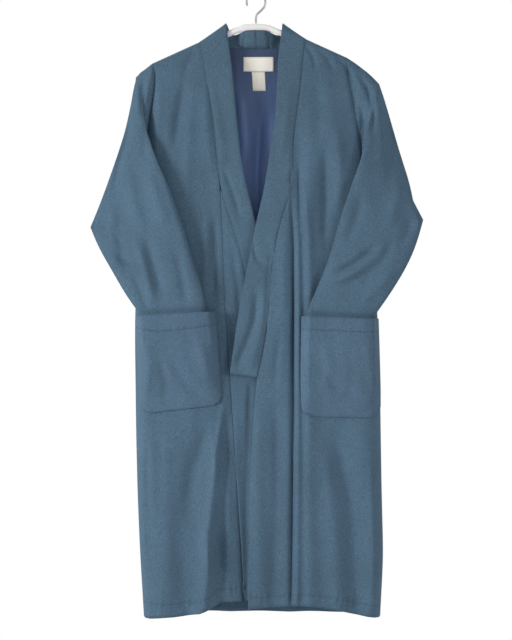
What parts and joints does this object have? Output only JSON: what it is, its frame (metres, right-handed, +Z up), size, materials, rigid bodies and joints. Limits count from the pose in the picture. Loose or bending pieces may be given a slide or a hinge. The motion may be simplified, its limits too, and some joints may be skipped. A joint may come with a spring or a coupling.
{
  "type": "kimono jacket on a hanger",
  "caption": "Long open kimono jacket with a broad collar band, overlapping front panels, wide sleeves and patch pockets holding the cuffs, hanging on a plain moulded hanger.",
  "frame": {"origin": "inside top of the hanger's hook, where a rod holds it", "axes": "+Z up along the hanging garment, the front faces -Y, the wearer's left is +X"},
  "size_m": [0.6268, 0.1115, 1.1849],
  "materials": {
    "wool": "matte woven wool",
    "lining": "soft satin",
    "label": "woven tape",
    "plastic": "satin",
    "wire": "polished"
  },
  "bodies": {
    "root": {"back": "wool", "front_right": "wool", "front_left": "wool", "overlap_right": "wool", "overlap_left": "wool", "band_right": "wool", "band_left": "wool", "sleeve_right": "wool", "sleeve_left": "wool", "pocket_right": "wool", "pocket_left": "wool", "back_lining": "lining", "neck_label": "label", "care_label": "label", "hanger": "plastic", "hanger_hook": "wire"}
  },
  "joints": []
}
